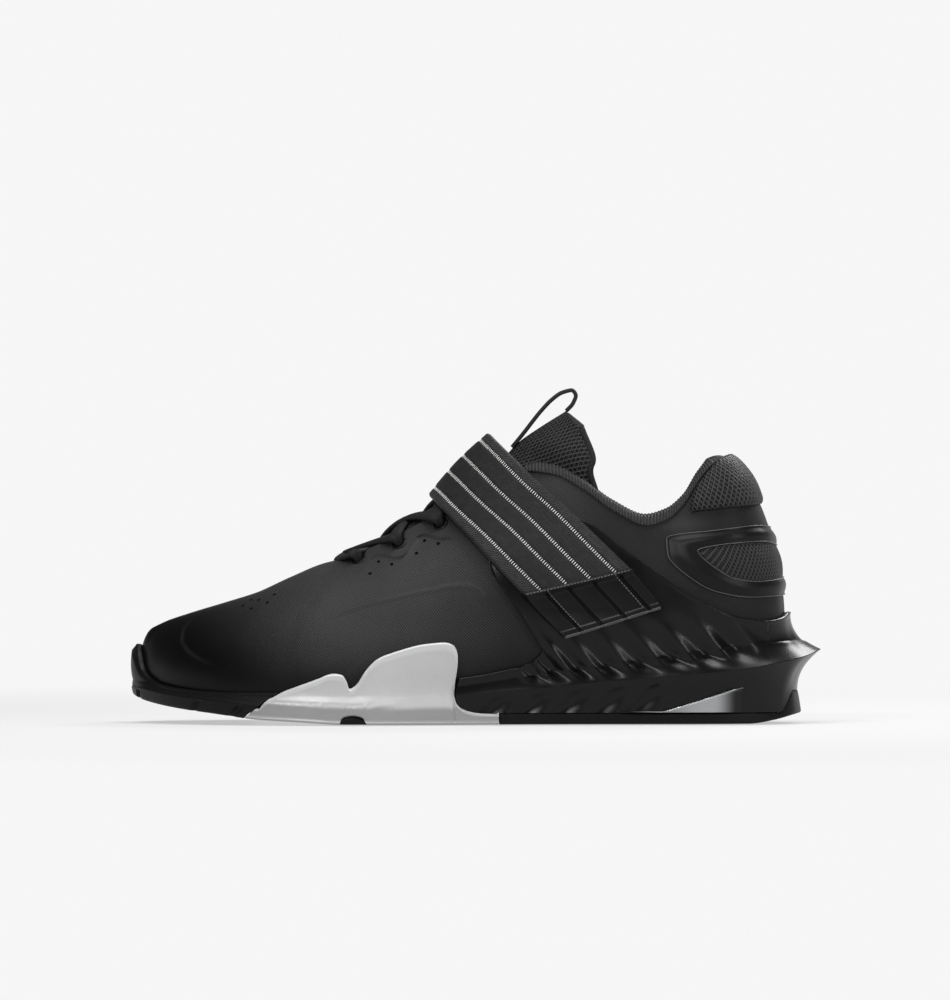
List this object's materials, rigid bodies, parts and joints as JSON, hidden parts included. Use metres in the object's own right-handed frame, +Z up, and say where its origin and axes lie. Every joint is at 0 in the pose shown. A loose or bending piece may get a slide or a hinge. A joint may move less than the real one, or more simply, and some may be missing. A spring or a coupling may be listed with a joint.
{
  "type": "weightlifting shoe",
  "caption": "Low left weightlifting shoe with a raised sculpted heel, laced throat, instep strap, moulded midfoot cage and wrapped toe rubber.",
  "frame": {"origin": "middle of the shoe's box, on the floor that the sole stands on", "axes": "+Z up, +X from toe to heel along the shoe, +Y towards the inner side of the left foot"},
  "size_m": [0.299, 0.1078, 0.1443],
  "materials": {
    "upper_cloth": "fine twill under a thin film, charcoal",
    "collar_knit": "tight black knit",
    "coarse_mesh": "open black spacer mesh",
    "moulded_black": "satin to glossy black moulding",
    "black_rubber": "matte black rubber",
    "silver_rubber": "rubber with a silver metallic pigment",
    "heel_plate_gloss": "glossy smoke-silver insert",
    "strap_webbing": "black woven webbing with pale dashes",
    "lace_cord": "flat black woven lace",
    "lining": "brushed black lining"
  },
  "bodies": {
    "root": {"upper": "upper_cloth", "midsole": "moulded_black", "outsole_heel": "black_rubber", "outsole_forefoot": "silver_rubber", "outsole_toe": "black_rubber", "heel_plate_outer": "heel_plate_gloss", "heel_plate_inner": "heel_plate_gloss", "insole": "lining", "collar_binding": "collar_knit", "heel_tab": "coarse_mesh", "heel_frame": "moulded_black", "tongue": "coarse_mesh", "tongue_pull_loop": "strap_webbing", "strap": "strap_webbing", "strap_tip": "moulded_black", "laces": "lace_cord"}
  },
  "joints": []
}
